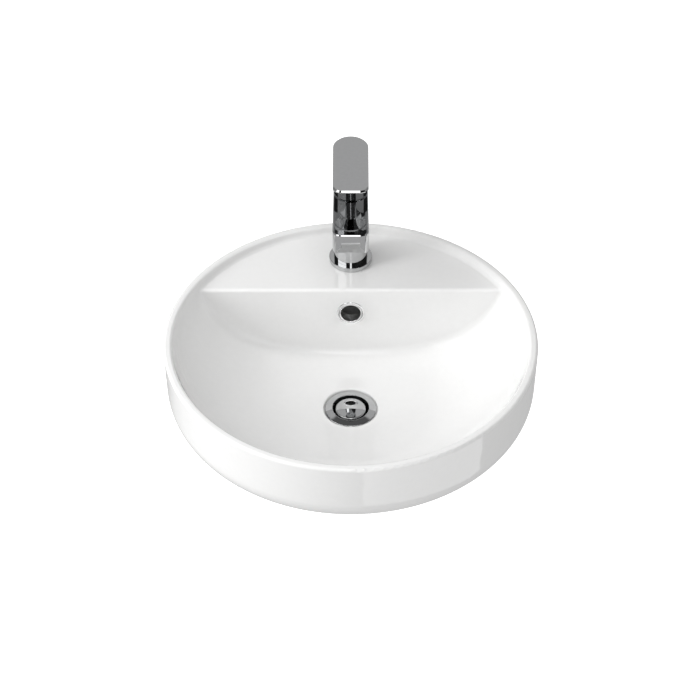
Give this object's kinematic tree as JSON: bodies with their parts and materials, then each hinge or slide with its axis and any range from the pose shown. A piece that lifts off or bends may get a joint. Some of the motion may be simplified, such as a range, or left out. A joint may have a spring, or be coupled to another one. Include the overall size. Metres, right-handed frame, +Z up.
{
  "type": "inset basin",
  "caption": "Round white china inset basin with raised rim, tap shelf, overflow and press-down waste plug, with a chrome single-lever mixer tap that tilts and turns.",
  "frame": {"origin": "centre of the round basin, in the plane where its seat rests on the bench top", "axes": "+Z up, -Y towards the user, +Y towards the tap shelf, +X to the user's right"},
  "size_m": [0.4197, 0.4198, 0.3435],
  "materials": {
    "china": "gloss white glaze",
    "chrome": "polished chrome plate",
    "rubber": "matt moulded rubber",
    "brass": "turned, bare",
    "steel": "bright drawn steel",
    "plastic": "moulded, satin",
    "disc": "lapped alumina",
    "cap": "plain grey plug"
  },
  "bodies": {
    "basin": {"basin_body": "china", "overflow_ring": "chrome", "tap_base_ring": "chrome", "tap_body": "chrome", "dome_cover": "chrome", "aerator_housing": "chrome", "waste_body": "chrome", "overflow_collar": "rubber", "tap_base_seal": "rubber", "clamp_gasket": "rubber", "cartridge_seal": "rubber", "aerator_washer": "rubber", "waste_seal": "rubber", "waste_lower_seal": "rubber", "tap_foot": "brass", "cartridge_nut": "brass", "clamp_nut": "brass", "waste_back_nut": "brass", "mounting_stud": "steel", "clamp_plate": "steel", "click_spring": "steel", "cartridge_base": "plastic", "cartridge_housing": "plastic", "aerator_insert": "plastic", "waste_washer": "plastic", "click_core": "plastic", "fixed_disc": "disc"},
    "turret": {"cartridge_turret": "plastic", "stem_pin": "steel"},
    "lever": {"lever_handle": "chrome", "lever_stem": "steel", "lever_grub_screw": "steel", "lever_screw_cap": "cap"},
    "mixing_disc": {"moving_disc": "disc", "disc_driver": "plastic"},
    "plug": {"plug_cap": "chrome", "plug_seal": "rubber", "plug_sleeve": "plastic"}
  },
  "joints": [
    {"name": "lever_turn", "type": "hinge", "parent": "basin", "child": "turret", "pos_m": [0, 0.151, 0.19005], "axis": [0, 0, 1], "range_deg": [-45, 45]},
    {"name": "lever_lift", "type": "hinge", "parent": "turret", "child": "lever", "pos_m": [0, 0.151, 0.19005], "axis": [-1, 0, 0], "range_deg": [0, 22]},
    {"name": "disc_slide", "type": "slide", "parent": "turret", "child": "mixing_disc", "axis": [0, -1, 0], "range_m": [0, 0.0048]},
    {"name": "plug_press", "type": "slide", "parent": "basin", "child": "plug", "axis": [0, 0, 1], "range_m": [-0.008, 0], "stiffness_N_per_m": 300, "springref_m": 0.01, "deforming": ["click_spring"]}
  ],
  "couplings": [
    {"joint": "disc_slide", "follows": "lever_lift", "m_per_rad": 0.012}
  ]
}
